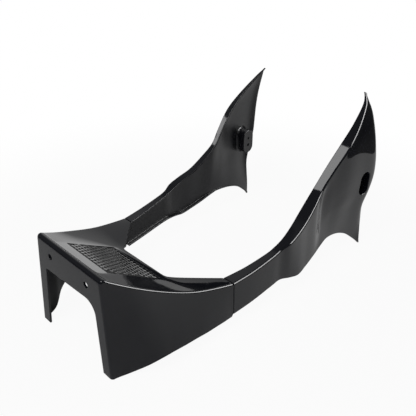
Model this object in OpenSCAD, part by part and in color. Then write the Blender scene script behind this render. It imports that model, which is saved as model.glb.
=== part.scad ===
// Motorcycle fairing in moulded gloss plastic.
// A centre bridge stands on two legs, and two channel-shaped arms sweep back from it and rise into wings.
// Each arm is screwed to the bridge from the inside, behind a straight seam.
// X runs across, Y from front to rear and Z up. The origin is on the ground, below the middle.

/* [Shell] */
// Wall thickness of the mouldings
wall = 3; // [2.4:0.1:3.6]
// Rounding of the outer top edges
edge_r = 2; // [1:0.1:2.4]

/* [Front face] */
// Half of the front face's width at its brow
front_half_w = 75; // [68:1:82]
// Height of the brow above the ground
bridge_h = 147; // [138:1:156]
// Rounding of the brow and of the front corners
brow_r = 5; // [3.5:0.5:6.5]
// How far the feet stand ahead of the brow
face_lean = 7; // [3:0.5:11]
// How far each foot stands outside the brow's end
leg_splay = 11.7; // [8:0.1:15]
// Width of each leg at the top of the opening
leg_w = 18; // [15:0.5:21]
// Height of the face's bar above the opening's right corner
bar_h = 40; // [34:1:48]
// How much lower the opening's left corner is
opening_skew = 6; // [0:0.5:9]
// Rounding of the opening's right corner
opening_r_right = 20; // [10:1:26]
// Rounding of the opening's left corner
opening_r_left = 3; // [1:0.5:8]
// Diameter of the two screw holes in the face
front_hole_d = 8.5; // [6:0.1:10]
// Distance between the two screw holes
front_hole_pitch = 84; // [70:1:96]
// Distance of the screw holes below the brow
front_hole_drop = 20; // [16:0.5:24]

/* [Top plate] */
// Distance from the brow to the plate's straight rear edge
plate_len = 114; // [106:1:120]
// Rounding of the rear edge's two corners
plate_corner_r = 14; // [6:1:20]
// How far these corners stand inside the panel's rear corners
plate_corner_in = 6.5; // [3:0.5:10]
// Distance from the brow to the textured panel
panel_start = 23; // [18:1:26]
// Length of the panel down the slope
panel_len = 90; // [80:1:92]
// Half width of the panel at its front edge
panel_front_half_w = 47.5; // [42:0.5:50]
// Half width of the panel at its rear edge
panel_rear_half_w = 54.5; // [48:0.5:56]
// Thickness of the panel
panel_t = 1.2; // [0.9:0.1:1.4]
// Gap around the panel in its rebate
panel_gap = 0.2; // [0.1:0.05:0.4]
// Height of the diamond studs on the panel
stud_h = 0.8; // [0.5:0.1:1.2]
// Distance between studs across the panel
stud_pitch_x = 7.4; // [7:0.1:9]
// Distance between rows of studs
stud_pitch_y = 7.3; // [7:0.1:9]
// Width of a stud across the panel
stud_w = 5.6; // [4.5:0.1:6.2]
// Length of a stud down the slope
stud_l = 6.2; // [4.5:0.1:6.6]
// Height of the ridge behind the panel
ridge_h = 0.9; // [0.5:0.1:1.5]
// Width of the ridge behind the panel
ridge_w = 1.6; // [1:0.1:2.2]

/* [Seam] */
// Distance from the brow to the seam
seam_y = 172; // [166:1:178]
// Half of the fairing's width at the seam
seam_half_w = 126; // [120:1:132]
// Height of the flange at the seam
seam_top = 77; // [72:1:82]
// Height of the bridge's lower edge at the seam
seam_bottom = 20; // [16:1:24]
// Rounding of the bridge's lower corner at the seam
seam_corner_r = 4; // [2:0.5:6]
// How much higher the arm's lower edge starts
seam_step = 3; // [1:0.5:5]
// Width of the open seam
seam_gap = 1; // [0.6:0.1:1.6]
// Width of the top flange at the seam
flange_w = 20; // [17:0.5:23]

/* [Seam screws] */
// Diameter of a screw's shank
screw_d = 4; // [3:0.1:5]
// Length of the shank under the head
screw_len = 9.5; // [8:0.1:10]
// Diameter of the head
head_d = 8; // [7:0.1:9]
// Height of the head
head_h = 2.6; // [2:0.1:3]
// Distance from the seam forward to the screws
screw_back = 12; // [10:0.5:14]
// Distance of a seam's upper screw below the flange's top
screw_drop = 10.5; // [9.5:0.5:12]
// Distance between the two screws of a seam
screw_pitch = 14; // [11:0.5:18]
// Diameter of the posts that take the screws
post_d = 9; // [8:0.1:11]
// How far the tab's face stands inside the seam's half width
tab_inset = 11; // [10:0.5:12]
// Thickness of the arm's tab
tab_t = 3; // [2.4:0.1:3.6]
// Clearance of the holes in the tab
tab_clear = 0.6; // [0.3:0.1:1]
// Clearance of the pilot holes in the posts
pilot_clear = 0.1; // [0.05:0.05:0.2]

/* [Arms] */
// Width of the lip along an arm's lower edge
lip_w = 9; // [6:0.5:11]
// Depth of the valley where an arm turns into its wing
valley = 4.5; // [2:0.5:6]
// How far the wing swells outward ahead of its rear edge
swell = 6; // [3:0.5:8]

/* [Wing bosses] */
// Distance from the seam back to the boss
boss_back = 304; // [300:1:308]
// Height of the boss above the ground
boss_z = 129; // [124:1:136]
// Length of the boss
boss_l = 47; // [42:1:50]
// Width of the boss
boss_w = 27; // [25:1:30]
// How far the boss's end face stands inside the seam's half width
boss_inset = 8; // [5:0.5:11]
// Wall of the boss around its recess
boss_wall = 2.6; // [2.2:0.1:3.2]
// Diameter of the two screw holes in the boss
boss_hole_d = 6; // [4.5:0.1:7]
// Distance between the two screw holes in the boss
boss_hole_pitch = 14; // [12:0.5:18]

/* [Hidden] */
plastic = [0.09, 0.09, 0.1];
panel_plastic = [0.16, 0.16, 0.17];
zinc = [0.72, 0.72, 0.7];
$fn = 48;
// Front of the feet, from which the middle of the fairing's length is worked out
front_y = -brow_r - face_lean;
// Slope of the top plate
plate_drop = (bridge_h - seam_top) / plate_len;
plate_deg = atan(plate_drop);
// Middle of the brow's round, which touches the face and the plate
brow_z = bridge_h - brow_r / cos(plate_deg);
// Corner of the plate's rear edge, and the rear end of the diagonal rim at the seam
rim_x = seam_half_w - flange_w;
rim_corner = panel_rear_half_w - plate_corner_in;
// Least width of the dished border, and the softness of the plate's folds
dish_w = 14;
fold = 2;
opening_h = bridge_h - bar_h;
// How much wider each leg is at its foot than at the top of the opening
leg_taper = 1.7;
// How far the bridge's hollow is opened below its lower edge
hollow_drop = 12;
// How far a cutting shape runs past what it cuts
past = 8;
boss_face_x = seam_half_w - boss_inset;
tab_x = seam_half_w - tab_inset;
// Narrowest lip or flange of an arm
least_lip = wall + 0.6;
// Swelling of the bridge's lower edge, outward and upward, in ten even steps from foot to seam
foot_out = [0, 4, 16, 21, 20, 18, 15, 12, 8, 4, 0];
foot_up = [0, 1, 11, 16.5, 16, 14, 11.5, 8.5, 5.5, 2.5, 0];
// Bow of the bridge's top edge between the brow and the seam, outward and downward
edge_out = 7.5;
edge_down = 11;
// Top edge of an arm from the seam to the wing's tip: outward, back and up from the seam's corner
arm_top = [[0, 0, 0], [3.5, 37, 3], [6, 77, 9.5], [7, 95, 14.5], [11.5, 111, 21], [10.5, 132, 28],
    [6.5, 157, 37.5], [2.5, 183, 55], [-0.5, 207, 75], [2, 226, 98], [5.5, 254, 128], [1.5, 283, 153],
    [-9, 313, 180], [-19, 324, 196]];
// Lower edge of an arm from the seam to the spike: outward and back from the seam, height above the ground
arm_foot = [[1, 0, seam_bottom + seam_step], [4, 37, 27], [6, 77, 33], [6.5, 97, 35], [11, 117, 31],
    [13, 136, 27.5], [11, 157, 32], [8, 182, 39], [4.5, 205, 45], [0.5, 229, 48], [0, 257, 44],
    [2.5, 284, 33], [6.5, 311, 12], [11, 323, 0]];
// Width of the flange and its upward tilt at the same places
arm_flange = [flange_w, 17, 14, 13.5, 17.5, 18.5, 19, 17.5, 15, 15, 15.5, 11.5, 6, least_lip];
arm_tilt = [0, 0, 0, 0, 0, 2.5, 4.5, 5, 5, 5, 4.5, 4, 1.5, 0];
// How much of the lip, the valley and the swelling there is at the same places
lip_share = [1, 1, 1, 1, 1, 1, 1, 1, 0.7, 0.2, 0, 0, 0, 0];
valley_share = [0, 0, 0, 0, 0, 0, 0, 0, 1, 0.8, 0, 0, 0, 0];
swell_share = [0, 0, 0, 0, 0, 0, 0, 0, 0, 0, 0, 0.3, 1, 0];
// Place where the wing's rear edge starts to pull the wall, and the last place
wing_at = 8;
arm_last = 13;
// Bow of the wing's rear edge from spike to tip in ten even steps, outward and back
rear_out = [0, 1.5, 4, 7, 12, 15, 16.5, 16, 13.5, 8.5, 0];
rear_back = [0, -2, -5, -6, 4, 13, 14, 12, 9.5, 6.5, 0];
// Heights of the wall's points between the lower edge and the top edge
wall_steps = [0.07, 0.15, 0.23, 0.31, 0.39, 0.47, 0.55, 0.63, 0.71, 0.79, 0.87, 0.94];

function lerp(a, b, t) = a + (b - a) * t;

// Smooth curve through the values or points of a list, at place t of the list
function curve(p, t) =
    let (n = len(p) - 1, i = max(0, min(floor(t), n - 1)), f = t - i,
        a = p[max(i - 1, 0)], b = p[i], c = p[i + 1], d = p[min(i + 2, n)])
    0.5 * (2 * b + (c - a) * f + (2 * a - 5 * b + 4 * c - d) * f * f
        + (3 * b - a - 3 * c + d) * f * f * f);

function reversed(p) = [for (i = [len(p) - 1 : -1 : 0]) p[i]];

// Arc that rounds corner b of the path a, b, c
function round_corner(a, b, c, r, steps = 8) =
    let (u = (a - b) / norm(a - b), v = (c - b) / norm(c - b),
        half = acos(u * v) / 2, away = r / tan(half), mid = b + (u + v) / norm(u + v) * (r / sin(half)),
        p = b + u * away - mid, q = b + v * away - mid, turn = 180 - 2 * half,
        side = sign(p[0] * q[1] - p[1] * q[0]))
    [for (k = [0 : steps]) let (g = side * turn * k / steps)
        mid + [p[0] * cos(g) - p[1] * sin(g), p[0] * sin(g) + p[1] * cos(g)]];

// Shell between an outer and an inner grid of points, both given as rows from front to rear
module shell_loft(outer, inner) {
    rows = len(outer);
    m = len(outer[0]);
    w = 2 * m;
    loops = [for (r = [0 : rows - 1]) concat(outer[r], reversed(inner[r]))];
    skin = [for (r = [0 : rows - 2], j = [0 : w - 1])
        let (a = r * w + j, b = r * w + (j + 1) % w) each [[a, b, b + w], [a, b + w, a + w]]];
    caps = [for (j = [0 : m - 2]) let (a = j, b = j + 1, c = w - 2 - j, d = w - 1 - j, e = (rows - 1) * w)
        each [[a, c, b], [a, d, c], [a + e, b + e, c + e], [a + e, c + e, d + e]]];
    polyhedron([for (l = loops) each l], concat(skin, caps), 4);
}

// Solid through closed symmetric sections, from front to rear, each end closed around a hub point
module solid_loft(sections) {
    rows = len(sections);
    w = len(sections[0]);
    skin = [for (r = [0 : rows - 2], j = [0 : w - 1])
        let (a = r * w + j, b = r * w + (j + 1) % w) each [[a, b + w, b], [a, a + w, b + w]]];
    hubs = [for (s = [sections[0], sections[rows - 1]]) (s[0] + s[w - 1] + 2 * s[(w - 1) / 2]) / 4];
    hub = rows * w;
    end = hub - w;
    caps = [for (j = [0 : w - 1]) let (k = (j + 1) % w) each [[hub, j, k], [hub + 1, end + k, end + j]]];
    polyhedron(concat([for (s = sections) each s], hubs), concat(skin, caps), 4);
}

// Bridge

function edge_at(u) = lerp([front_half_w, 0, bridge_h], [seam_half_w, seam_y, seam_top], u)
    + [edge_out, 0, -edge_down] * sin(180 * pow(u, 0.9));

function foot_at(u) =
    let (into = max(0, seam_corner_r - seam_y * max(0, 1 - u)),
        rise = seam_corner_r - sqrt(pow(seam_corner_r, 2) - pow(into, 2)))
    lerp([front_half_w + leg_splay, 0, 0], [seam_half_w + 1, seam_y, seam_bottom], u)
    + [curve(foot_out, u * 10), 0, curve(foot_up, u * 10) + rise];

function plate_at(y) = bridge_h - plate_drop * y;

// The greater of two values, blended over width w where they meet
function soft_max(a, b, w) = (a + b + sqrt(pow(a - b, 2) + w * w)) / 2;

// Half width of the flat part of the plate, at distance y behind the brow
function flat_half_w(y) =
    let (share = (y - panel_start) / (panel_len * cos(plate_deg)),
        panel = lerp(panel_front_half_w, panel_rear_half_w, share),
        rim = lerp(rim_corner, rim_x, (y - plate_len) / (seam_y - plate_len)))
    soft_max(panel, rim, fold);

// Right half of a section from the middle to the foot, at share u of the way to the seam. ahead, tuck and
// sink round the brow: forward, inward and down. inset gives the inner skin and drop opens it below.
function half_section(u, ahead, tuck, sink, inset, drop) =
    let (e = edge_at(u), f = foot_at(u), y = e[1] - ahead + inset * (1 - u),
        lean = face_lean * (1 - u), top = e[2] - sink - inset,
        level = (e[2] * plate_at(y - lean)) / (e[2] + plate_drop * lean),
        flat_z = min(top, soft_max(seam_top, level, fold) - sink - inset),
        half = e[0] - tuck - inset, flat = min(flat_half_w(y), half - dish_w),
        r = max(edge_r - inset, 0.4), foot = [f[0] - tuck - inset, f[2] - drop],
        dish = [for (t = [0.25, 0.5, 0.7, 0.86]) [lerp(flat, half - r, t), lerp(flat_z, top, pow(t, 2.2))]],
        wall_points = [for (t = [0, 0.33, 0.67, 1]) lerp([half, top - r], foot, t)])
    [for (p = concat([[0, flat_z], [flat, flat_z]], dish, [[half - r, top], [half - r * 0.3, top - r * 0.3]],
        wall_points))
        [p[0], y - lean * (1 - p[1] / e[2]), p[1]]];

function full_section(half) =
    concat(reversed([for (p = half) if (p[0] > 0) [-p[0], p[1], p[2]]]), half);

// Section of the brow's round, turned by angle a from the face up and over to the plate
function brow_row(a, inset, drop) =
    let (y = -brow_r * cos(a), ahead = max(0, -y), tuck = a < 90 ? brow_r * (1 - sin(a)) : 0)
    full_section(half_section(max(0, y) / seam_y, ahead, tuck, plate_at(max(0, y)) - brow_z - brow_r * sin(a),
        inset, drop));

function bridge_rows(inset, drop) = concat(
    [for (a = [0, 30, 60, 90, 106, 90 + plate_deg]) brow_row(a, inset, drop)],
    [for (i = [1 : 23]) full_section(half_section(i / 24, 0, 0, 0, inset, drop))],
    [for (d = [1, 0.65, 0.3, 0.1, 0])
        full_section(half_section(1 - d * seam_corner_r / seam_y, 0, 0, 0, inset, drop))],
    inset > 0 ? [full_section(half_section(1.03, 0, 0, 0, inset, drop))] : []);

module opening_outline() {
    top = front_half_w - leg_w;
    foot = top + leg_splay - leg_taper;
    a = [-foot, -1];
    b = [-top, opening_h - opening_skew];
    c = [top, opening_h];
    d = [foot, -1];
    polygon(concat([a], round_corner(a, b, c, opening_r_left), round_corner(b, c, d, opening_r_right), [d]));
}

module rear_outline() {
    far = seam_y + past;
    right = round_corner([0, plate_len], [rim_corner, plate_len], [rim_x, seam_y], plate_corner_r);
    left = [for (p = reversed(right)) [-p[0], p[1]]];
    polygon(concat(right, [[rim_x, seam_y], [rim_x, far], [-rim_x, far], [-rim_x, seam_y]], left));
}

// Puts its children on the sloping plate, with Y down the slope and Z square to it
module on_plate() {
    translate([0, panel_start, bridge_h - panel_start * plate_drop]) rotate([-plate_deg, 0, 0]) children();
}

module panel_outline(gap) {
    f = panel_front_half_w - gap;
    r = panel_rear_half_w - gap;
    polygon([[-f, gap], [f, gap], [r, panel_len - gap], [-r, panel_len - gap]]);
}

function screw_heights() = [seam_top - screw_drop, seam_top - screw_drop - screw_pitch];

// Half width of the bridge's outer wall at share u of the way to the seam and height z
function outer_at(u, z) =
    let (e = edge_at(u), f = foot_at(u), top = e[2] - edge_r)
    lerp(e[0], f[0], (top - z) / (top - f[2]));

module centre_bridge() {
    color(plastic) difference() {
        union() {
            difference() {
                solid_loft(bridge_rows(0, 0));
                solid_loft(bridge_rows(wall, hollow_drop));
                translate([0, 0, seam_bottom]) linear_extrude(bridge_h) rear_outline();
                translate([0, 2, 0]) rotate([90, 0, 0])
                    linear_extrude(brow_r + face_lean + past) opening_outline();
            }
            on_plate() translate([-panel_rear_half_w, panel_len, -wall / 4])
                cube([2 * panel_rear_half_w, ridge_w, ridge_h + wall / 4]);
            for (side = [-1, 1], z = screw_heights())
                translate([side * tab_x, seam_y - screw_back, z]) rotate([0, side * 90, 0])
                    cylinder(d = post_d, h = outer_at(1 - screw_back / seam_y, z) - wall / 2 - tab_x);
        }
        on_plate() translate([0, 0, -panel_t]) linear_extrude(panel_t + past) panel_outline(0);
        for (x = [-0.5, 0.5])
            translate([x * front_hole_pitch, past / 2, bridge_h - front_hole_drop]) rotate([90, 0, 0])
                cylinder(d = front_hole_d, h = brow_r + face_lean + past);
        for (side = [-1, 1], z = screw_heights())
            translate([side * (tab_x - 1), seam_y - screw_back, z]) rotate([0, side * 90, 0])
                cylinder(d = screw_d + pilot_clear, h = screw_len - tab_t + 1.5);
    }
}

// Textured panel

module diamond(x, y) {
    polygon([[x - stud_w / 2, y], [x, y - stud_l / 2], [x + stud_w / 2, y], [x, y + stud_l / 2]]);
}

module texture_panel() {
    rows = floor((panel_len - stud_l - 2) / stud_pitch_y);
    first = (panel_len - rows * stud_pitch_y) / 2;
    color(panel_plastic) on_plate() union() {
        translate([0, 0, -panel_t]) linear_extrude(panel_t) panel_outline(panel_gap);
        translate([0, 0, -panel_t / 2]) linear_extrude(panel_t / 2 + stud_h)
            for (r = [0 : rows])
                let (y = first + stud_pitch_y * r,
                    half = lerp(panel_front_half_w, panel_rear_half_w, y / panel_len) - 1,
                    offset_x = (r % 2) * stud_pitch_x / 2,
                    n = floor((half - stud_w / 2 - offset_x) / stud_pitch_x))
                    for (k = [-n - (r % 2) : n])
                        diamond(k * stud_pitch_x + offset_x, y);
    }
}

// Arms

seam_corner = [seam_half_w, seam_y + seam_gap, 0];

function top_at(s) = curve(arm_top, s) + seam_corner + [0, 0, seam_top];

function low_at(s) = curve(arm_foot, s) + seam_corner;

// Direction from the top edge into the wing, square to the edge
function down_at(s) =
    let (d = top_at(min(s + 0.1, arm_last)) - top_at(max(s - 0.1, 0)), l = norm([d[1], d[2]]))
    [0, d[2] / l, -d[1] / l];

// Point of the outer wall at place s along the arm and height share v
function wall_at(s, v) =
    let (pull = max(0, (s - wing_at) / (arm_last - wing_at)))
    lerp(low_at(s), top_at(s), v)
    + [curve(rear_out, v * 10), curve(rear_back, v * 10), 0] * pull
    + [swell * curve(swell_share, s) * sin(180 * v)
        - valley * curve(valley_share, s) * (1 - pow(2 * v - 1, 6)), 0, 0];

function outer_row(s, inset) =
    let (top = top_at(s) - [inset, 0, 0], low = low_at(s) - [inset, 0, 0], down = down_at(s),
        lip = max(least_lip, lip_w * curve(lip_share, s)), fw = curve(arm_flange, s))
    concat([low - [lip, 0, 0], low - [1, 0, 0], low + [0, 0, 1]],
        [for (v = wall_steps) wall_at(s, v) - [inset, 0, 0]],
        [top + down * edge_r, top + down * edge_r * 0.3 - [edge_r * 0.3, 0, 0], top - [edge_r, 0, 0],
            top - [fw, 0, 0] - down * curve(arm_tilt, s)]);

function inner_row(s) =
    let (top = top_at(s), low = low_at(s), down = down_at(s),
        lip = max(least_lip, lip_w * curve(lip_share, s)), fw = curve(arm_flange, s),
        corner = top + down * wall - [wall, 0, 0])
    concat([low + [-lip, 0, wall], low + [-wall - 0.5, 0, wall], low + [-wall, 0, wall + 0.5]],
        [for (v = wall_steps) wall_at(s, v) - [wall, 0, 0]],
        [corner + down * 0.4, corner + down * 0.1 - [0.1, 0, 0], corner - [0.4, 0, 0],
            top + down * wall - [fw, 0, 0] - down * curve(arm_tilt, s)]);

arm_places = concat([for (i = [0 : 3 * arm_last - 2]) i / 3], [arm_last - 0.33, arm_last - 0.15, arm_last]);

// Space inside the wing's outer skin, which trims the boss
module wing_inside() {
    places = [for (i = [0 : 10]) lerp(arm_last - 2.8, arm_last, i / 10)];
    steps = [for (v = [0.15 : 0.1 : 0.95]) v];
    shell_loft([for (s = places) [for (v = steps) wall_at(s, v) - [wall / 3, 0, 0]]],
        [for (s = places) [for (v = steps) let (p = wall_at(s, v)) [boss_face_x - past, p[1], p[2]]]]);
}

module obround(l, w, h) {
    translate([0, -w / 2, -(l - w) / 2]) cube([h, w, l - w]);
    for (z = [-0.5, 0.5])
        translate([0, 0, z * (l - w)]) rotate([0, 90, 0]) cylinder(d = w, h = h);
}

module right_arm() {
    color(plastic) difference() {
        union() {
            shell_loft([for (s = arm_places) outer_row(s, 0)], [for (s = arm_places) inner_row(s)]);
            intersection() {
                translate([boss_face_x, seam_y + boss_back, boss_z]) obround(boss_l, boss_w, boss_l);
                wing_inside();
            }
            seam_tab();
        }
        translate([boss_face_x + wall, seam_y + boss_back, boss_z])
            obround(boss_l - 2 * boss_wall, boss_w - 2 * boss_wall, boss_l + past);
        for (z = [-0.5, 0.5])
            translate([boss_face_x - 1, seam_y + boss_back, boss_z + z * boss_hole_pitch]) rotate([0, 90, 0])
                cylinder(d = boss_hole_d, h = wall + 2);
        for (z = screw_heights())
            translate([tab_x - tab_t - 1, seam_y - screw_back, z]) rotate([0, 90, 0])
                cylinder(d = screw_d + tab_clear, h = tab_t + 2);
    }
}

// Tab that reaches forward inside the bridge, and the web under the flange that carries it
module seam_tab() {
    z = screw_heights();
    low = z[1] - 0.9 * post_d;
    high = z[0] + 0.6 * post_d;
    front = seam_y - screw_back - post_d;
    web_y = seam_y + seam_gap + wall / 2;
    web_z = (low + high) / 2;
    translate([tab_x - tab_t, front, low]) cube([tab_t, seam_y - front, high - low]);
    translate([tab_x - tab_t, front, web_z]) cube([tab_t, web_y + wall - front, high - web_z]);
    translate([tab_x - tab_t, web_y, web_z])
        cube([tab_inset + tab_t - wall / 2, wall, seam_top - wall / 2 - web_z]);
}

module left_arm() {
    mirror([1, 0, 0]) right_arm();
}

// Pan head screw with its shank along +X, the head's underside at x = 0
module screw() {
    color(zinc) rotate([0, 90, 0]) rotate_extrude()
        polygon([[0, -head_h], [head_d * 0.3, -head_h], [head_d * 0.45, -head_h * 0.7],
            [head_d / 2, -head_h * 0.3], [head_d / 2, 0], [screw_d / 2, 0],
            [screw_d / 2, screw_len - screw_d / 2], [0, screw_len]]);
}

module seam_screw(side, level) {
    z = screw_heights()[level];
    translate([side * (tab_x - tab_t), seam_y - screw_back, z]) mirror([side < 0 ? 1 : 0, 0, 0]) screw();
}

// Puts the origin below the middle of the fairing's length
module placed() {
    rear_y = max([for (v = wall_steps) wall_at(arm_last, v)[1]]);
    translate([0, -(front_y + rear_y) / 2, 0]) children();
}

placed() centre_bridge();
placed() texture_panel();
placed() left_arm();
placed() right_arm();
placed() seam_screw(-1, 0);  // left_upper_screw
placed() seam_screw(-1, 1);  // left_lower_screw
placed() seam_screw(1, 0);  // right_upper_screw
placed() seam_screw(1, 1);  // right_lower_screw
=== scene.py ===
import math

import bmesh
import bpy
import numpy as np
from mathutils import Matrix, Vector
from mathutils.bvhtree import BVHTree


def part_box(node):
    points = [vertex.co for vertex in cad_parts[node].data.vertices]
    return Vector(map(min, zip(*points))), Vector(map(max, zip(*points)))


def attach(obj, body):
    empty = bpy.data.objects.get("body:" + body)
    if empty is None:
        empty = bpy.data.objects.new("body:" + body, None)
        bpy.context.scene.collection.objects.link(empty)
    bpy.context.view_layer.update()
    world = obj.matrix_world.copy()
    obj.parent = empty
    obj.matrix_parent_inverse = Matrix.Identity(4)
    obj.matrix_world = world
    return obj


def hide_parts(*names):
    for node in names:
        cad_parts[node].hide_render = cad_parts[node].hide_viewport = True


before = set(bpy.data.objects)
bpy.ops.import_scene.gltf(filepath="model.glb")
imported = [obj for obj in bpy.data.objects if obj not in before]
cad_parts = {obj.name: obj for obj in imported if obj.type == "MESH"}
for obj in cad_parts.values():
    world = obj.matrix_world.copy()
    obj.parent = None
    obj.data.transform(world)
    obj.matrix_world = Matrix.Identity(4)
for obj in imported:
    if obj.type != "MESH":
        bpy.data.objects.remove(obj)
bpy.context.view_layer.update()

# Centre bridge
# The front moulding: a gloss black injection moulding that stands on two legs. Its leaning face has two
# screw holes over an arched opening, and its top plate slopes down between two dished borders.

wall = 3.0
edge_r = 3.6
front_half_w = 75.0
bridge_h = 147.0
brow_r = 5.0
face_lean = 7.0
leg_splay = 11.7
leg_w = 18.0
leg_taper = 1.7
opening_h = 107.0
opening_skew = 6.0
opening_r_right = 20.0
opening_r_left = 3.0
front_hole_d = 8.5
front_hole_pitch = 84.0
front_hole_drop = 20.0
front_hole_depth = 9.0
front_hole_mouth = 0.6
plate_len = 114.0
plate_corner_r = 14.0
plate_corner_in = 6.5
panel_start = 23.0
panel_len = 90.0
panel_front_half_w = 47.5
panel_rear_half_w = 54.5
panel_t = 1.2
rebate_top = 3.0
ridge_h = 0.9
ridge_w = 1.6
seam_y = 172.0
seam_half_w = 126.0
seam_top = 77.0
seam_bottom = 20.0
seam_corner_r = 4.0
flange_w = 20.0
rim_x = seam_half_w - flange_w
rim_corner = panel_rear_half_w - plate_corner_in
dish_w = 14.0
fold = 6.0
dish_power = 1.3
rim_lift = 1.8
# The outer edge keeps its lift for the first share of the way to the seam and loses it over the second
lift_kept = 0.3
lift_fade = 0.4
step_len = 2.8
least_r = 0.4
hollow_drop = 12.0
hollow_fade = 100.0
plate_drop = (bridge_h - seam_top) / plate_len
plate_angle = math.atan(plate_drop)
brow_z = bridge_h - brow_r / math.cos(plate_angle)
foot_out = [0, 4, 16, 21, 20, 18, 15, 12, 8, 4, 0]
foot_up = [0, 1, 11, 16.5, 16, 14, 11.5, 8.5, 5.5, 2.5, 0]
foot_flare = 1.0
edge_out = 7.5
edge_down = 11.0
edge_skew = 0.9
rim_room = 1.5
edge_steps = 8
wall_steps = 24
top_steps = 30
middle_steps = 15
brow_points = 18
plate_steps = 50
rim_steps = 6
diagonal_steps = 28
face_steps = 7
# The frame's origin lies behind the brow, so the brow's place comes from the bridge's own box
brow_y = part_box("centre_bridge")[0][1] * 1000 + brow_r + face_lean


def lerp(a, b, t):
    return a + (b - a) * t


def curve(values, t):
    """Smooth curve through a list of values or points, at place t of the list."""
    last = len(values) - 1
    i = int(max(0, min(math.floor(t), last - 1)))
    f = t - i
    near = (values[max(i - 1, 0)], values[i], values[i + 1], values[min(i + 2, last)])
    a, b, c, d = near if np.isscalar(values[0]) else (np.array(p, float) for p in near)
    return 0.5 * (2 * b + (c - a) * f + (2 * a - 5 * b + 4 * c - d) * f * f
                  + (3 * b - a - 3 * c + d) * f ** 3)


def unit(v):
    return v / np.linalg.norm(v)


def fillet(corner, a, b, r, steps):
    """Points of the arc that rounds a corner, from the side of direction a to the side of direction b."""
    a, b = unit(a), unit(b)
    half = math.acos(max(-1, min(1, float(a @ b)))) / 2
    centre = corner + unit(a + b) * r / math.sin(half)
    p = corner + a * r / math.tan(half) - centre
    q = corner + b * r / math.tan(half) - centre
    turn = math.pi - 2 * half
    return [centre + (p * math.sin(turn * (1 - k / steps)) + q * math.sin(turn * k / steps)) / math.sin(turn)
            for k in range(steps + 1)]


def ease(t):
    """Smooth step from 0 to 1."""
    t = max(0.0, min(t, 1.0))
    return t * t * (3 - 2 * t)


def soft_max(a, b, width):
    return (a + b + math.sqrt((a - b) ** 2 + width * width)) / 2


def edge_at(u):
    """Half width and height of the bridge's top edge at share u of the way to the seam."""
    bow = math.sin(math.pi * u ** edge_skew)
    return (lerp(front_half_w, seam_half_w, u) + edge_out * bow,
            lerp(bridge_h, seam_top, u) - edge_down * bow)


def foot_at(u):
    """Half width and height of the bridge's lower edge, with its rounded corner at the seam."""
    into = max(0.0, seam_corner_r - seam_y * max(0.0, 1 - u))
    rise = seam_corner_r - math.sqrt(seam_corner_r ** 2 - min(into, seam_corner_r) ** 2)
    return (lerp(front_half_w + leg_splay, seam_half_w + foot_flare, u) + curve(foot_out, u * 10),
            lerp(0.0, seam_bottom, u) + curve(foot_up, u * 10) + rise)


def plate_at(y):
    return bridge_h - plate_drop * y


def flat_half_w(y):
    """Half width of the plate's flat part, at distance y behind the brow."""
    along = (y - panel_start) / (panel_len * math.cos(plate_angle))
    panel = lerp(panel_front_half_w, panel_rear_half_w, along)
    return soft_max(panel, lerp(rim_corner, rim_x, (y - plate_len) / (seam_y - plate_len)), fold)


class Section:
    """Cross section of the bridge at share u of the way to the seam.

    In the brow's round it is also tucked in, sunk and brought ahead."""

    def __init__(self, u, inset, ahead=0.0, tuck=0.0, sink=0.0):
        edge_x, self.edge_z = edge_at(u)
        self.y = u * seam_y - ahead + inset * (1 - u)
        self.lean = face_lean * (1 - u)
        level = self.edge_z * plate_at(self.y - self.lean) / (self.edge_z + plate_drop * self.lean)
        lift = rim_lift * (1 - ease((u - lift_kept) / lift_fade))
        step = rim_lift * (1 - ease((self.y - brow_r / 2) / step_len))
        self.half, self.top = edge_x - tuck - inset, self.edge_z + lift - sink - inset
        self.flat_z = min(self.top, soft_max(seam_top, level, fold) + step - sink - inset)
        self.flat = min(flat_half_w(self.y), self.half - dish_w)
        foot_x, foot_z = foot_at(u)
        self.foot = np.array([foot_x - tuck - inset, foot_z - (hollow_drop if inset else 0)])
        slope = self.height(self.half) - self.height(self.half - 1)
        corner = np.array([self.half, self.top])
        self.round = fillet(corner, np.array([-1, -slope]), self.foot - corner, max(edge_r - inset, least_r),
                            edge_steps)
        self.end = (self.round[-1][1] - foot_z) / (self.round[-1][1] - self.foot[1])

    def height(self, x):
        """Height of the top: the plate, then the dished border up to the outer edge."""
        return lerp(self.flat_z, self.top, max(0.0, (x - self.flat) / (self.half - self.flat)) ** dish_power)

    def placed(self, x, z):
        return np.array([x, self.y - self.lean * (1 - z / self.edge_z), z])


def wall_side(section):
    """Points from the top edge's rounding down to the lower edge."""
    points = section.round[1:] + [lerp(section.round[-1], section.foot, section.end * k / wall_steps)
                                  for k in range(1, wall_steps + 1)]
    return [section.placed(x, z) for x, z in points]


def top_columns(start, middle, end):
    """Places across the top, from start over middle to end, with a first step wide enough for the rim."""
    left = [lerp(start, middle, k / middle_steps) for k in range(middle_steps)]
    steps = top_steps - middle_steps
    first = max(1 / steps, rim_room / (end - middle))
    return left + [middle] + [lerp(middle, end, lerp(first, 1, k / (steps - 1))) for k in range(steps)]


def on_top(x, y, inset):
    """Point of the top skin straight above or below a place in plan."""
    reach = y
    for _ in range(3):
        section = Section((reach - inset) / (seam_y - inset), inset)
        point = section.placed(x, section.height(x))
        reach += y - point[1]
    return point


def arc_corner(a, b, c, r, steps=10):
    """Flat version of fillet for outlines: the arc that rounds corner b."""
    a, b, c = np.array(a, float), np.array(b, float), np.array(c, float)
    return fillet(b, a - b, c - b, r, steps)


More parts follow.
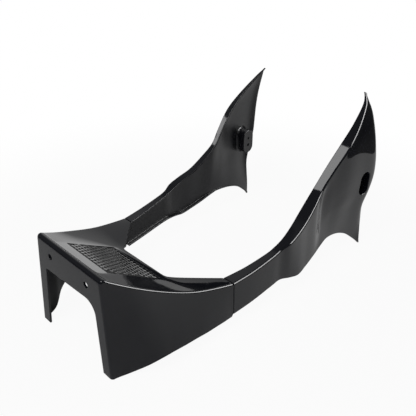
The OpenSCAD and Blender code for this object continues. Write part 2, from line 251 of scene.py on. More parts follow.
rim_arc = arc_corner((0, plate_len), (rim_corner, plate_len), (rim_x, seam_y), plate_corner_r, rim_steps)
rim_start, rim_end = rim_arc[:rim_steps // 2 + 1], rim_arc[rim_steps // 2 + 1:]
rim_middle = rim_start[-1]
diagonal = [lerp(rim_arc[-1], np.array([rim_x, seam_y]), k / diagonal_steps)
            for k in range(1, diagonal_steps + 1)]


def brow_rows(inset):
    """Rows round the brow, from the face to the start of the plate."""
    rows = []
    turns = [math.radians(t) for t in np.linspace(0, 90 + math.degrees(plate_angle), brow_points)]
    for turn in turns:
        y = -brow_r * math.cos(turn)
        tuck = brow_r * (1 - math.sin(turn)) if turn < math.pi / 2 else 0.0
        sink = plate_at(max(0.0, y)) - brow_z - brow_r * math.sin(turn)
        section = Section(max(0.0, y) / seam_y, inset, max(0.0, -y), tuck, sink)
        across = top_columns(0, rim_middle[0], section.round[0][0])
        rows.append([section.placed(x, section.height(x)) for x in across] + wall_side(section))
    return rows


def plate_rows(inset):
    """Rows from behind the brow to the straight rear rim, and then from the diagonal rim outward."""
    rows = []
    first = brow_r * math.sin(plate_angle)
    for y in [lerp(first, rim_middle[1], k / plate_steps) for k in range(1, plate_steps + 1)]:
        back = y + inset * max(0.0, 1 - y / hollow_fade)
        section = Section((back - inset) / (seam_y - inset), inset)
        across = top_columns(0, rim_middle[0], section.round[0][0])
        places = [(x, back) for x in across]
        if y == rim_middle[1]:
            steps = middle_steps + 1 - len(rim_start)
            straight = [(lerp(0, rim_arc[0][0], k / steps), plate_len) for k in range(steps)]
            places[:middle_steps + 1] = straight + [tuple(p) for p in rim_start]
        rows.append([on_top(x, place, inset) for x, place in places] + wall_side(section))
    for start_x, y in rim_end + diagonal:
        section = Section((y - inset) / (seam_y - inset), inset)
        across = top_columns(0, start_x, section.round[0][0])[middle_steps:]
        rows.append([None] * middle_steps + [on_top(x, y, inset) for x in across] + wall_side(section))
    return rows


def arch_outline(side):
    """Points of the opening's outline in the face, from its middle to the foot, one for each column."""
    top = front_half_w - leg_w
    foot = top + leg_splay - leg_taper
    left, right = (-top, opening_h - opening_skew), (top, opening_h)
    far = left if side > 0 else right
    near = right if side > 0 else left
    r = opening_r_right if side > 0 else opening_r_left
    arc = arc_corner(far, near, (side * foot, -1), r, edge_steps)
    middle = (np.array(far) + np.array(near)) / 2
    down = np.array([side * foot, -1.0])
    down = lerp(arc[-1], down, arc[-1][1] / (arc[-1][1] + 1))
    points = [lerp(middle, arc[0], k / top_steps) for k in range(top_steps)] + arc
    return points + [lerp(arc[-1], down, k / wall_steps) for k in range(1, wall_steps + 1)]


def face_rows(side, outline, inset):
    """Rows of the flat face between the opening's outline and the start of the brow's round."""
    face_y = -brow_r + inset
    arch = [np.array([side * x, face_y - face_lean * (1 - z / bridge_h), z]) for x, z in arch_outline(side)]
    return [[lerp(a, b, k / face_steps) for a, b in zip(arch, outline)] for k in range(face_steps)]


def to_frame(p):
    """Working millimetres, measured from the brow, to the frame's metres."""
    return Vector((p[0] / 1000, (p[1] + brow_y) / 1000, p[2] / 1000))


def finished(name, mesh):
    """Turns a worked mesh into a smooth object with room for two materials."""
    bmesh.ops.recalc_face_normals(mesh, faces=mesh.faces)
    for face in mesh.faces:
        face.smooth = True
    data = bpy.data.meshes.new(name)
    mesh.to_mesh(data)
    mesh.free()
    for _ in range(2):
        data.materials.append(None)
    piece = bpy.data.objects.new(name, data)
    bpy.context.collection.objects.link(piece)
    return piece


def moulding(name, outer, inner, cells, rim=0.8, steps=3):
    """Solid wall between two skins that share their cells, with every free rim rounded on both sides.

    The inner skin and the rims take the second of the piece's materials."""
    most_of_cell, sharpest = 1.3, 0.6
    turns = [math.pi / 2 * k / steps for k in range(steps + 1)]
    # An edge that only one cell has lies on a free rim
    open_edges = {}
    for cell in cells:
        for a, b in zip(cell, cell[1:] + cell[:1]):
            if (b, a) in open_edges:
                del open_edges[(b, a)]
            else:
                open_edges[(a, b)] = cell
    before = {b: a for a, b in open_edges}
    mesh = bmesh.new()
    rings = []
    for skin, other in ((outer, inner), (inner, outer)):
        sides = {}
        room = {}
        for (a, b), cell in open_edges.items():
            along = unit(skin[b] - skin[a])
            inward = np.mean([skin[k] for k in cell], axis=0) - (skin[a] + skin[b]) / 2
            inward -= along * (inward @ along)
            sides[a] = unit(inward)
            room[a] = np.linalg.norm(inward)
        verts = {}
        loops = {}
        for a, side in sides.items():
            last = sides[before[a]]
            inward = (side + last) / max(1 + side @ last, sharpest)
            through = unit(other[a] - skin[a])
            r = min(rim, most_of_cell * room[a], most_of_cell * room[before[a]])
            loops[a] = [mesh.verts.new(to_frame(skin[a] + inward * r * (1 - math.sin(t))
                                                + through * r * (1 - math.cos(t)))) for t in turns]
            verts[a] = loops[a][0]
        for cell in cells:
            for k in cell:
                if k not in verts:
                    verts[k] = mesh.verts.new(to_frame(skin[k]))
        for cell in cells:
            mesh.faces.new([verts[k] for k in cell]).material_index = 0 if skin is outer else 1
        for a, b in open_edges:
            for k in range(steps):
                face = mesh.faces.new((loops[a][k], loops[b][k], loops[b][k + 1], loops[a][k + 1]))
                face.material_index = 1
        rings.append(loops)
    near, far = rings
    for a, b in open_edges:
        mesh.faces.new((near[a][-1], near[b][-1], far[b][-1], far[a][-1])).material_index = 1
    return finished(name, mesh)


def bridge_moulding():
    """Both skins of the bridge, from rows that are mirrored to its left half."""
    skins = []
    for inset in (0.0, wall):
        body = brow_rows(inset) + plate_rows(inset)
        points = {}
        for side in (1, -1):
            rows = face_rows(side, body[0], inset) + body
            for i, row in enumerate(rows):
                for j, p in enumerate(row):
                    if p is not None:
                        points[(side if j else 0, i, j)] = p * np.array([side, 1, 1])
        skins.append(points)
    order = list(skins[0])
    number = {key: k for k, key in enumerate(order)}
    cells = []
    columns = top_steps + edge_steps + wall_steps
    for side in (1, -1):
        def at(i, j):
            return number.get((side if j else 0, i, j))
        for i in range(max(key[1] for key in order)):
            for j in range(columns):
                cell = (at(i, j), at(i, j + 1), at(i + 1, j + 1), at(i + 1, j))
                if None not in cell:
                    cells.append(cell if side > 0 else cell[::-1])
    return moulding("bridge_moulding", *([skin[key] for key in order] for skin in skins), cells)


bridge = bridge_moulding()


def loft(name, rings):
    """Closed solid through closed rings of points, each end capped by a flat face."""
    mesh = bmesh.new()
    loops = [[mesh.verts.new(to_frame(p)) for p in ring] for ring in rings]
    count = len(loops[0])
    for low, high in zip(loops, loops[1:]):
        for j in range(count):
            k = (j + 1) % count
            mesh.faces.new((low[j], low[k], high[k], high[j]))
    mesh.faces.new(loops[0])
    mesh.faces.new(loops[-1])
    return finished(name, mesh)


def bake(piece):
    """Puts the result of a piece's modifiers into its mesh."""
    result = bpy.data.meshes.new_from_object(piece.evaluated_get(bpy.context.evaluated_depsgraph_get()))
    piece.modifiers.clear()
    piece.data = result


def combine(piece, tool, operation):
    """Joins, cuts or intersects a piece with a tool, which is then thrown away."""
    step = piece.modifiers.new("step", "BOOLEAN")
    step.operation = operation
    step.solver = "MANIFOLD"
    step.object = tool
    bake(piece)
    bpy.data.meshes.remove(tool.data)


def on_plate(x, y, z):
    """A point of the sloping plate, with y down the slope and z square to it."""
    c, s = math.cos(plate_angle), math.sin(plate_angle)
    return (x, panel_start + y * c + z * s, bridge_h - panel_start * plate_drop - y * s + z * c)


def circle(r, steps=40):
    turns = [2 * math.pi * k / steps for k in range(steps)]
    return [(r * math.cos(t), r * math.sin(t)) for t in turns]


def mouth_rings(mouth, turns):
    """How much wider and how deep each ring of a hole's rounded mouth is, with a first one outside."""
    outside = -3.0
    return [(mouth, outside)] + [(mouth * (1 - math.sin(t)), mouth * (1 - math.cos(t))) for t in turns]


def face_hole(x, z):
    """Screw hole through the leaning face, with a rounded mouth."""
    turns = [math.pi / 8 * k for k in range(5)]
    rings = []
    for grow, depth in mouth_rings(front_hole_mouth, turns) + [(0.0, front_hole_depth)]:
        rings.append([(x + a, depth - brow_r - face_lean * (1 - (z + b) / bridge_h), z + b)
                      for a, b in circle(front_hole_d / 2 + grow)])
    return loft("hole", rings)


def ridge_bar():
    """Low rounded ridge along the panel's rear edge."""
    bump = [(0, -0.8), (0, ridge_h * 0.55), (0.3, ridge_h * 0.9), (0.8, ridge_h), (1.3, ridge_h * 0.9),
            (ridge_w, ridge_h * 0.55), (ridge_w, -0.8)]
    ends = [(-1.0, 0.35), (-0.985, 0.9), (-0.97, 1.0), (0.97, 1.0), (0.985, 0.9), (1.0, 0.35)]
    return loft("ridge", [[on_plate(share * panel_rear_half_w, panel_len + y, z * (tall if z > 0 else 1))
                           for y, z in bump] for share, tall in ends])


def cross_bar(x, y, z, r, length, side):
    """Round bar along the fairing's width."""
    return loft("bar", [[(side * (x + d), y + a, z + b) for a, b in circle(r, 32)] for d in (0, length)])


screw_d = 4.0
screw_len = 9.5
screw_back = 12.0
screw_drop = 10.5
screw_pitch = 14.0
post_d = 9.0
pilot_clear = 0.1
pilot_extra = 1.5
tab_inset = 11.0
tab_t = 3.0
tab_clear = 0.6
tab_x = seam_half_w - tab_inset
screw_y = seam_y - screw_back
screw_heights = (seam_top - screw_drop, seam_top - screw_drop - screw_pitch)

for x in (-0.5, 0.5):
    combine(bridge, face_hole(x * front_hole_pitch, bridge_h - front_hole_drop), "DIFFERENCE")
combine(bridge, ridge_bar(), "UNION")
rebate = [(-panel_front_half_w, 0), (panel_front_half_w, 0), (panel_rear_half_w, panel_len),
          (-panel_rear_half_w, panel_len)]
levels = (-panel_t, rebate_top)
combine(bridge, loft("rebate", [[on_plate(x, y, z) for x, y in rebate] for z in levels]), "DIFFERENCE")
for side in (-1, 1):
    for z in screw_heights:
        section = Section(1 - screw_back / seam_y, 0.0)
        top, foot = section.round[-1], section.foot
        reach = lerp(top[0], foot[0], (top[1] - z) / (top[1] - foot[1])) - wall / 2 - tab_x
        combine(bridge, cross_bar(tab_x, screw_y, z, post_d / 2, reach, side), "UNION")
        pilot = (screw_d + pilot_clear) / 2
        depth = screw_len - tab_t + pilot_extra
        combine(bridge, cross_bar(tab_x - 1, screw_y, z, pilot, depth, side), "DIFFERENCE")


sharp_angle = 48


def shade(piece):
    """Smooth shading that the large faces lead, with the sharp edges of cuts kept."""
    for face in piece.data.polygons:
        face.use_smooth = True
    piece.data.set_sharp_from_angle(angle=math.radians(sharp_angle))
    weighted = piece.modifiers.new("shading", "WEIGHTED_NORMAL")
    weighted.keep_sharp = True
    bake(piece)


shade(bridge)


class Value:
    """A socket of a material's nodes. Arithmetic on it adds Math nodes."""

    def __init__(self, tree, socket=None):
        self.tree = tree
        self.socket = socket

    def _math(self, operation, a, b):
        return self.node("ShaderNodeMath", {"operation": operation}, {0: a, 1: b})

    def __add__(self, other):
        return self._math("ADD", self, other)

    def __radd__(self, other):
        return self._math("ADD", other, self)

    def __sub__(self, other):
        return self._math("SUBTRACT", self, other)

    def __rsub__(self, other):
        return self._math("SUBTRACT", other, self)

    def __mul__(self, other):
        return self._math("MULTIPLY", self, other)

    def __rmul__(self, other):
        return self._math("MULTIPLY", other, self)

    def node(self, kind, settings=None, inputs=None, output=0):
        """Adds a node: its settings first, then the values or links of its sockets."""
        made = self.tree.nodes.new(kind)
        for name, value in (settings or {}).items():
            if name == "stops":
                stops = made.color_ramp.elements
                for place, level in value[2:]:
                    stops.new(place).color = (level, level, level, 1)
                for stop, (place, level) in zip((stops[0], stops[-1]), value[:2]):
                    stop.position = place
                    stop.color = (level, level, level, 1)
            else:
                setattr(made, name, value)
        for name, value in (inputs or {}).items():
            if isinstance(value, Value):
                self.tree.links.new(value.socket, made.inputs[name])
            else:
                made.inputs[name].default_value = value
        return Value(self.tree, made.outputs[output])

    def into(self, node, name):
        self.tree.links.new(self.socket, node.inputs[name])


def material(name, colour, roughness, **constants):
    """A new principled material: its name, a start for node maths, and its shader."""
    made = bpy.data.materials.new(name)
    made.use_nodes = True
    shader = made.node_tree.nodes["Principled BSDF"]
    shader.inputs["Base Color"].default_value = (*colour, 1)
    shader.inputs["Roughness"].default_value = roughness
    for socket, value in constants.items():
        shader.inputs[socket.replace("_", " ").title()].default_value = value
    return made, Value(made.node_tree), shader


gloss_colour = (0.0073, 0.0081, 0.0122)
core_colour = (0.0085, 0.009, 0.0125)
gloss_black, start, shader = material("gloss_black_plastic", gloss_colour, 0.06)
where = start.node("ShaderNodeTexCoord", output=3)
flow = where.node("ShaderNodeTexNoise", inputs={"Vector": where, "Scale": 14.0, "Detail": 2.0})
(0.03 + flow * 0.05).into(shader, "Roughness")

# The mould's core side is less polished than its outer side
core_black, start, shader = material("core_side_black_plastic", core_colour, 0.3)
where = start.node("ShaderNodeTexCoord", output=3)
flow = where.node("ShaderNodeTexNoise", inputs={"Vector": where, "Scale": 40.0, "Detail": 3.0})
(0.24 + flow * 0.14).into(shader, "Roughness")


def dress(piece, *looks):
    """Gives a piece its materials and keeps the faces' choice between them."""
    slots = piece.data.materials
    while len(slots) > len(looks):
        slots.pop()
    for k, look in enumerate(looks):
        slots[k] = look


dress(bridge, gloss_black, core_black)
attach(bridge, "root")
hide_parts("centre_bridge")

# Arms
# Two gloss black mouldings, mirror images: a channel with a flange above and a lip below, which sweeps
# back from the seam and rises into a thin wing. The wing's inner side carries an obround screw boss, and
# a tab behind the seam takes the two screws that hold the arm to the bridge.

lip_w = 9.0
seam_step = 3.0
seam_gap = 1.0
valley = 3.6
valley_power = 4
swell = 5.85
boss_back = 304.0
boss_z = 129.0
boss_l = 47.0
boss_w = 27.0
boss_inset = 8.0
boss_wall = 2.6
boss_hole_d = 6.0
boss_hole_pitch = 14.0
recess_mouth = 1.2
arm_top = [[0, 0, 0], [3.5, 37, 3], [6, 77, 9.5], [7, 95, 14.5], [11.5, 111, 21], [10.5, 132, 28],
           [6.5, 157, 37.5], [2.5, 183, 55], [-0.5, 207, 75], [2, 226, 98], [5.5, 254, 128], [1.5, 283, 153],
           [-9, 313, 180], [-19, 324, 196]]
arm_foot = [[1, 0, seam_bottom + seam_step], [4, 37, 27], [6, 77, 33], [6.5, 97, 35], [11, 117, 31],
            [13, 136, 27.5], [11, 157, 32], [8, 182, 39], [4.5, 205, 45], [0.5, 229, 48], [0, 257, 44],
            [2.5, 284, 33], [6.5, 311, 12], [11, 323, 0]]
least_lip = wall + 0.6
arm_flange = [flange_w, 17, 14, 13.5, 17.5, 18.5, 19, 17.5, 15, 15, 15.5, 11.5, 6, least_lip]
arm_tilt = [0, 0, 0, 0, 0, 2.5, 4.5, 5, 5, 5, 4.5, 4, 1.5, 0]
lip_share = [1, 1, 1, 1, 1, 1, 1, 1, 0.7, 0.2, 0, 0, 0, 0]
valley_share = [0, 0, 0, 0, 0, 0, 0, 0, 1, 0.8, 0, 0, 0, 0]
swell_share = [0, 0, 0, 0, 0, 0, 0, 0, 0, 0, 0, 0.3, 1, 0]
lip_r = 1.2
inner_r = 0.8
edge_room = 1.5
inner_room = 2.5
foot_room = 0.03
arm_sections = 150
wall_points = 32
wing_at = 8
arm_last = 13
rear_out = [0, 1.5, 4, 7, 12, 15, 16.5, 16, 13.5, 8.5, 0]
rear_back = [0, -2, -5, -6, 4, 13, 14, 12, 9.5, 6.5, 0]
seam_corner = np.array([seam_half_w, seam_y + seam_gap, 0])


def top_at(s):
    """Point of the arm's top corner at place s along the arm, counted in entries of the lists."""
    return curve(arm_top, s) + seam_corner + np.array([0, 0, seam_top])


def low_at(s):
    """Point of the arm's lower corner at place s along the arm."""
    return curve(arm_foot, s) + seam_corner


def wall_at(s, v):
    """Point of the outer wall at place s along the arm and height share v."""
    pull = max(0, (s - wing_at) / (arm_last - wing_at))
    rear_pull = np.array([curve(rear_out, v * 10), curve(rear_back, v * 10), 0]) * pull
    bulge = (swell * curve(swell_share, s) * math.sin(math.pi * v)
             - valley * curve(valley_share, s) * (1 - (2 * v - 1) ** valley_power))
    return lerp(low_at(s), top_at(s), v) + rear_pull + np.array([bulge, 0, 0])


def wall_normal(s, v):
    """Unit vector square to the outer wall, pointing away from the fairing."""
    s0, s1 = max(s - 0.05, 0), min(s + 0.05, arm_last)
    v0, v1 = max(v - 0.01, 0), min(v + 0.01, 1)
    return unit(np.cross(wall_at(s1, v) - wall_at(s0, v), wall_at(s, v1) - wall_at(s, v0)))


def to_rim(start, rim, steps):
    """Points from start to a free rim, with a last step that leaves room for the rim's rounding."""
    room, most = 1.4, 0.7
    last = 1 - min(room / max(np.linalg.norm(rim - start), 1e-6), most)
    return [lerp(start, rim, last * k / (steps - 1)) for k in range(steps)] + [rim]


def square_to(along, direction, towards):
    """Unit vector square to both directions, on the side that points towards the third."""
    square = unit(np.cross(along, direction))
    return square if square @ towards > 0 else -square


def arm_rows(s):
    """Outer and inner section of the channel at place s, each from the lip's edge to the flange's edge."""
    top, low = top_at(s), low_at(s)
    along_top = unit(top_at(min(s + 0.1, arm_last)) - top_at(max(s - 0.1, 0)))
    along_low = unit(low_at(min(s + 0.1, arm_last)) - low_at(max(s - 0.1, 0)))
    down = wall_at(s, 0.98) - top
    down = unit(down - along_top * (down @ along_top))
    up = wall_at(s, 0.02) - low
    up = unit(up - along_low * (up @ along_low))
    drop = unit(np.array([0, along_top[2], -along_top[1]]))
    flange = np.array([-curve(arm_flange, s), 0, 0]) - drop * curve(arm_tilt, s)
    lip = np.array([-max(least_lip, lip_w * curve(lip_share, s)), 0, 0])
    lip_up = square_to(along_low, lip, up)
    square = square_to(along_top, flange, down)
    height = np.linalg.norm(top - low)
    f, l = unit(flange), unit(lip)
    end, tip = low + lip, top + flange
    shares = [k / (wall_points - 1) for k in range(wall_points)]
    corner = fillet(low, l, up, lip_r, 4)
    outer = to_rim(corner[0], end, 3)[:0:-1] + corner
    below_edge = 1 - (edge_r + edge_room) / height
    outer += [wall_at(s, lerp(foot_room, below_edge, share)) for share in shares]
    round_top = fillet(top, down, f, edge_r, edge_steps)
    outer += round_top + to_rim(round_top[-1], tip, 5)[1:]
    inner_low = low + l * wall + lip_up * wall
    inner_top = top + f * wall + square * wall
    r = min(inner_r, (np.linalg.norm(lip) - wall) / 2)
    corner = fillet(inner_low, l, up, r, 4)
    inner = to_rim(corner[0], end + lip_up * wall, 3)[:0:-1] + corner
    inset = (wall + inner_room) / height
    for v in (lerp(inset, 1 - inset, share) for share in shares):
        inner.append(wall_at(s, v) - wall_normal(s, v) * wall)
    r = min(inner_r, (np.linalg.norm(flange) - wall) / 2)
    round_top = fillet(inner_top, down, f, r, edge_steps)
    inner += round_top + to_rim(round_top[-1], tip + square * wall, 5)[1:]
    return outer, inner


def arm_moulding():
    """Both skins of the right arm, from sections that follow each other to the wing's rear edge."""
    rows = [arm_rows(s) for s in np.linspace(0, arm_last, arm_sections)]
    outer = [p for row in rows for p in row[0]]
    inner = [p for row in rows for p in row[1]]
    count = len(rows[0][0])
    cells = [(i * count + j, i * count + j + 1, (i + 1) * count + j + 1, (i + 1) * count + j)
             for i in range(len(rows) - 1) for j in range(count - 1)]
    return moulding("arm_moulding", outer, inner, cells)


def obround(length, width, steps=16):
    """Outline of an upright obround, as places along the fairing and in height."""
    turns = [math.pi * k / steps for k in range(steps + 1)]
    r, mid = width / 2, (length - width) / 2
    upper = [(r * math.cos(t), mid + r * math.sin(t)) for t in turns]
    return upper + [(-a, -b) for a, b in upper]


boss_x = seam_half_w - boss_inset
boss_y = seam_y + boss_back


def wing_hit(tree, y, z, outside):
    """How far out the wing's skin lies at a place along the fairing and a height."""
    start = to_frame((300 if outside else boss_x - 20, y, z))
    hit = tree.ray_cast(start, Vector((-1 if outside else 1, 0, 0)))[0]
    return hit.x * 1000


def boss_solid(tree):
    """Boss with a soft foot on the wing, a rounded end and a low raised rim round its end face."""
    flare, round_r = 5.0, 1.4
    buried, proud = 1.2, 0.15
    raised_w, raised_slope, raised_h = 1.0, 0.6, 0.5
    rings = []

    def ring(grow, x_of):
        places = [(boss_y + a, boss_z + b) for a, b in obround(boss_l + 2 * grow, boss_w + 2 * grow)]
        rings.append([(x_of(y, z), y, z) for y, z in places])

    ring(flare + 0.5, lambda y, z: wing_hit(tree, y, z, False) + buried)
    for k in range(7):
        turn = math.pi / 2 * k / 6
        ring(flare * (1 - math.sin(turn)),
             lambda y, z: wing_hit(tree, y, z, False) + proud - flare * (1 - math.cos(turn)))
    for k in range(6):
        turn = math.pi / 2 * k / 5
        ring(-round_r * (1 - math.cos(turn)), lambda y, z: boss_x + round_r * (1 - math.sin(turn)))
    ring(-round_r - raised_w, lambda y, z: boss_x)
    ring(-round_r - raised_w - raised_slope, lambda y, z: boss_x + raised_h)
    boss = loft("boss", rings)
    for face in boss.data.polygons:
        face.material_index = 1
    return boss


def recess_cut(tree):
    """Pocket that takes the two screw heads, with a rounded mouth in the wing's outer skin."""
    turns = (0.0, 0.4, 0.8, 1.2, math.pi / 2)
    length, width = boss_l - 2 * boss_wall, boss_w - 2 * boss_wall
    rings = []
    for grow, depth in mouth_rings(recess_mouth, turns):
        places = [(boss_y + a, boss_z + b) for a, b in obround(length + 2 * grow, width + 2 * grow)]
        rings.append([(wing_hit(tree, y, z, True) - depth, y, z) for y, z in places])
    rings.append([(boss_x + wall, boss_y + a, boss_z + b) for a, b in obround(length, width)])
    return loft("recess", rings)


def rounded_box(low, high, axis, r=1.2):
    """Plate with rounded corners, thin along one axis."""
    spans = [k for k in range(3) if k != axis]
    (a0, a1), (b0, b1) = ((low[k], high[k]) for k in spans)
    corners = [(a0, b0), (a1, b0), (a1, b1), (a0, b1)]
    outline = [p for k in range(4)
               for p in arc_corner(corners[k - 1], corners[k], corners[(k + 1) % 4], r, 4)]
    rings = []
    for level in (low[axis], high[axis]):
        ring = []
        for a, b in outline:
            point = [0.0, 0.0, 0.0]
            point[spans[0]], point[spans[1]], point[axis] = a, b, level
            ring.append(point)
        rings.append(ring)
    return loft("plate", rings)


arm = arm_moulding()
tree = BVHTree.FromObject(arm, bpy.context.evaluated_depsgraph_get())
combine(arm, boss_solid(tree), "UNION")
combine(arm, recess_cut(tree), "DIFFERENCE")
for z in (-0.5, 0.5):
    bore = cross_bar(boss_x - 1, boss_y, boss_z + z * boss_hole_pitch, boss_hole_d / 2, wall + 2, 1)
    combine(arm, bore, "DIFFERENCE")
# The tab and the web that ties it to the wall are three plates, each thin along the axis given last
tab_below = 0.9 * post_d
tab_above = 0.6 * post_d
tab_low = screw_heights[1] - tab_below
tab_high = screw_heights[0] + tab_above
tab_front = screw_y - post_d
web_y = seam_y + seam_gap + wall / 2
web_rear = web_y + wall
web_z = (tab_low + tab_high) / 2
tab_in = tab_x - tab_t
for low, high, thin in (((tab_in, tab_front, tab_low), (tab_x, seam_y, tab_high), 0),
                        ((tab_in, tab_front, web_z), (tab_x, web_rear, tab_high), 0),
                        ((tab_in, web_y, web_z), (seam_half_w - wall / 2, web_rear, seam_top - wall / 2), 1)):
    combine(arm, rounded_box(low, high, thin), "UNION")
for z in screw_heights:
    hole = cross_bar(tab_x - tab_t - 1, screw_y, z, (screw_d + tab_clear) / 2, tab_t + 2, 1)
    combine(arm, hole, "DIFFERENCE")
for label, side in (("right", 1), ("left", -1)):
    piece = arm.copy()
    piece.data = arm.data.copy()
    piece.name = label + "_arm_moulding"
    bpy.context.collection.objects.link(piece)
    if side < 0:
        mesh = bmesh.new()
        mesh.from_mesh(piece.data)
        for vert in mesh.verts:
            vert.co.x = -vert.co.x
        bmesh.ops.reverse_faces(mesh, faces=mesh.faces)
        mesh.to_mesh(piece.data)
        mesh.free()
    shade(piece)
    dress(piece, gloss_black, core_black)
    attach(piece, "root")
    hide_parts(label + "_arm")
bpy.data.objects.remove(arm)

# Textured panel
# A thin satin black moulding with staggered rows of low diamond studs. It lies in the rebate of the
# bridge's top plate, where it is bonded.

panel_gap = 0.2
stud_h = 0.8
stud_pitch_x = 7.4
stud_pitch_y = 7.3
stud_w = 5.6
stud_l = 6.2
stud_margin = 1.0
stud_base = -0.5
stud_foot = (3.45, 5.2)
stud_flat = (2.6, 3.8)
stud_angle = 20
satin_colour = (0.008, 0.008, 0.009)


def panel_plate():
    """The insert's thin plate, with a small bevel round its top."""
    rings = []
    for level, in_by in ((-panel_t, 0.0), (-0.8, 0.0), (-0.6, 0.1), (stud_base, 0.3)):
        front, rear = panel_front_half_w - panel_gap - in_by, panel_rear_half_w - panel_gap - in_by
        low, high = panel_gap + in_by, panel_len - panel_gap - in_by
        corners = ((-front, low), (front, low), (rear, high), (-rear, high))
        rings.append([on_plate(x, y, level) for x, y in corners])
    return loft("texture_plate", rings)


def studs():
    """All the studs: diamonds in staggered rows, with rounded shoulders and small flat tops."""
    mesh = bmesh.new()
    # Each level has its share of the way from the foot's size to the flat top's, and its height
    levels = [(0.0, -1.0), (0.0, stud_base), (0.2, 0.1), (0.45, 0.45), (0.75, 0.7), (1.0, stud_h)]
    rows = math.floor((panel_len - stud_l - 2 * stud_margin) / stud_pitch_y)
    first = (panel_len - rows * stud_pitch_y) / 2
    for r in range(rows + 1):
        y = first + stud_pitch_y * r
        half = lerp(panel_front_half_w, panel_rear_half_w, y / panel_len) - stud_margin
        odd = r % 2
        last = math.floor((half - stud_w / 2 - odd * stud_pitch_x / 2) / stud_pitch_x)
        for k in range(-last - odd, last + 1):
            x = (k + odd / 2) * stud_pitch_x
            loops = []
            for share, z in levels:
                a, b = (lerp(foot, flat, share) for foot, flat in zip(stud_foot, stud_flat))
                loops.append([mesh.verts.new(to_frame(on_plate(x + out, y + along, z)))
                              for out, along in ((-a, 0), (0, -b), (a, 0), (0, b))])
            for low, high in zip(loops, loops[1:]):
                for j in range(4):
                    mesh.faces.new((low[j], low[(j + 1) % 4], high[(j + 1) % 4], high[j]))
            mesh.faces.new(loops[0])
            mesh.faces.new(loops[-1])
    return finished("studs", mesh)


# The studs' tops are polished and the ground between them is matt
satin_black, start, shader = material("satin_black_plastic", satin_colour, 0.3)
where = start.node("ShaderNodeTexCoord", output=3)
slope = (0.0, math.sin(plate_angle), math.cos(plate_angle))
above = where.node("ShaderNodeVectorMath", {"operation": "DOT_PRODUCT"}, {0: where, 1: slope}, 1)
ground = above - to_frame(on_plate(0, 0, 0)).dot(Vector(slope))
polish = ground.node("ShaderNodeMapRange", inputs={0: ground, 1: -0.0002, 2: 0.0005, 3: 0.0, 4: 1.0})
grain = where.node("ShaderNodeTexNoise", inputs={"Vector": where, "Scale": 900.0, "Detail": 2.0})
(0.6 - polish * 0.54 + grain * 0.04).into(shader, "Roughness")
panel = panel_plate()
combine(panel, studs(), "UNION")
panel.data.set_sharp_from_angle(angle=math.radians(stud_angle))
dress(panel, satin_black)
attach(panel, "root")
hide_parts("texture_panel")

# Seam screws
# Zinc-plated steel pan head screws, two on each side. They go from inside through the arm's tab and cut
# their thread in the posts inside the bridge, and are shown as the CAD model has them.

zinc_colour = (0.7, 0.7, 0.68)
zinc, start, shader = material("zinc_plate", zinc_colour, 0.3, metallic=1.0)
where = start.node("ShaderNodeTexCoord", output=3)
spangle = where.node("ShaderNodeTexNoise", inputs={"Vector": where, "Scale": 700.0, "Detail": 3.0})
(0.25 + spangle * 0.15).into(shader, "Roughness")
for name in ("left_upper_screw", "left_lower_screw", "right_upper_screw", "right_lower_screw"):
    dress(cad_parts[name], zinc)

# Floor, light and camera
# A round white floor that fades into a white background. Three lamps and a world with one bright side
# light the fairing, and the camera stands at the photograph's corner. Sizes here are in metres.

floor_r = 0.95
paper_colour = (0.8, 0.8, 0.8)
mesh = bmesh.new()
bmesh.ops.create_circle(mesh, cap_ends=True, radius=floor_r, segments=96)
floor = finished("studio_floor", mesh)
paper, start, shader = material("studio_paper", paper_colour, 0.9)
rays = start.node("ShaderNodeLightPath")
glossy = start.node("ShaderNodeLightPath", output=3)
where = start.node("ShaderNodeNewGeometry")
spread = start.node("ShaderNodeVectorMath", {"operation": "LENGTH"}, {0: where}, 1)
whiter = start.node("ShaderNodeMapRange", {"interpolation_type": "SMOOTHSTEP"},
                    {0: spread, 1: 0.35, 2: 0.85, 3: 0.94, 4: 1.0})
glow = start.node("ShaderNodeEmission", inputs={"Strength": 1.0})
lit = Value(start.tree, shader.outputs[0])
# Painted light: in reflections the floor glows more towards its right rear than elsewhere, a glow that no
# lamp casts
rightward = start.node("ShaderNodeVectorMath", {"operation": "DOT_PRODUCT"},
                       {0: where, 1: (0.7, 0.7, 0)}, 1)
share = start.node("ShaderNodeMapRange", inputs={0: rightward, 1: -0.05, 2: 0.3, 3: 0.03, 4: 0.55})
seen = start.node("ShaderNodeMixShader", inputs={0: rays * whiter + glossy * share, 1: lit, 2: glow})
seen.into(start.tree.nodes["Material Output"], "Surface")
dress(floor, paper)

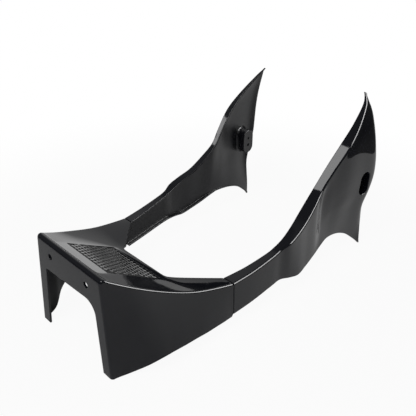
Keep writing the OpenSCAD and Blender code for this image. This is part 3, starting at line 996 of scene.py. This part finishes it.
# The world's bright side stands behind the fairing and to its left. The stops of its levels run from
# straight below at 0 to straight above at 1.
bright_way = (-0.643, 0.766, 0)
bright_levels = [(0.45, 1.0), (1.0, 0.13), (0.5, 0.3), (0.69, 0.36), (0.87, 0.32)]
bright_gain = 1.3
dim_levels = [(0.4, 0.1), (1.0, 0.12), (0.5, 0.05), (0.75, 0.15)]
world = bpy.data.worlds.new("studio")
bpy.context.scene.world = world
world.use_nodes = True
sky = Value(world.node_tree)
ray = sky.node("ShaderNodeTexCoord")
flat = sky.node("ShaderNodeVectorMath", {"operation": "MULTIPLY"}, {0: ray, 1: (1, 1, 0)})
flat = sky.node("ShaderNodeVectorMath", {"operation": "NORMALIZE"}, {0: flat})
height = sky.node("ShaderNodeSeparateXYZ", inputs={0: ray}, output=2)
height = height * 0.5 + 0.5
back = sky.node("ShaderNodeVectorMath", {"operation": "DOT_PRODUCT"}, {0: flat, 1: bright_way}, 1)
back = sky.node("ShaderNodeMapRange", {"interpolation_type": "SMOOTHSTEP"},
                {0: back, 1: 0.86, 2: 0.97, 3: 0.0, 4: 1.0})
bright = sky.node("ShaderNodeValToRGB", {"stops": bright_levels}, {0: height})
dim = sky.node("ShaderNodeValToRGB", {"stops": dim_levels}, {0: height})
level = back * (bright * bright_gain) + (1 - back) * dim
rays = sky.node("ShaderNodeLightPath")
level = level * (1 - rays) + rays
level.into(world.node_tree.nodes["Background"], "Strength")
world.node_tree.nodes["Background"].inputs["Color"].default_value = (1, 1, 1, 1)


def softbox(name, azimuth, elevation, width, height, level, soft=True):
    """Rectangular lamp that faces the fairing, in degrees from the rear and metres.

    One that isn't soft shows in the gloss alone and adds nothing to the plain light level."""
    distance, above_floor = 2.0, 0.1
    data = bpy.data.lights.new(name, "AREA")
    data.shape = "RECTANGLE"
    data.size, data.size_y = width, height
    data.energy = level * width * height * math.pi
    lamp = bpy.data.objects.new(name, data)
    lamp.visible_diffuse = soft
    a, e = math.radians(azimuth), math.radians(elevation)
    place = Vector((math.sin(a) * math.cos(e), math.cos(a) * math.cos(e), math.sin(e)))
    lamp.location = place * distance + Vector((0, 0, above_floor))
    lamp.rotation_euler = place.to_track_quat("Z", "Y").to_euler()
    bpy.context.collection.objects.link(lamp)


softbox("key_softbox", azimuth=167, elevation=55, width=0.9, height=1.0, level=5.0)
softbox("left_card", azimuth=-93, elevation=16, width=0.5, height=0.3, level=2.4)
softbox("right_softbox", azimuth=55, elevation=38, width=1.6, height=1.0, level=12.0, soft=False)

camera_data = bpy.data.cameras.new("view")
camera_data.lens = 45.0
camera_data.sensor_width = 36.0
camera = bpy.data.objects.new("view", camera_data)
camera.location = (0.5068, -0.5048, 0.5234)
camera.rotation_euler = (math.radians(60.34), 0, math.radians(45.27))
bpy.context.collection.objects.link(camera)
bpy.context.scene.camera = camera
bpy.context.scene.view_settings.view_transform = "Standard"
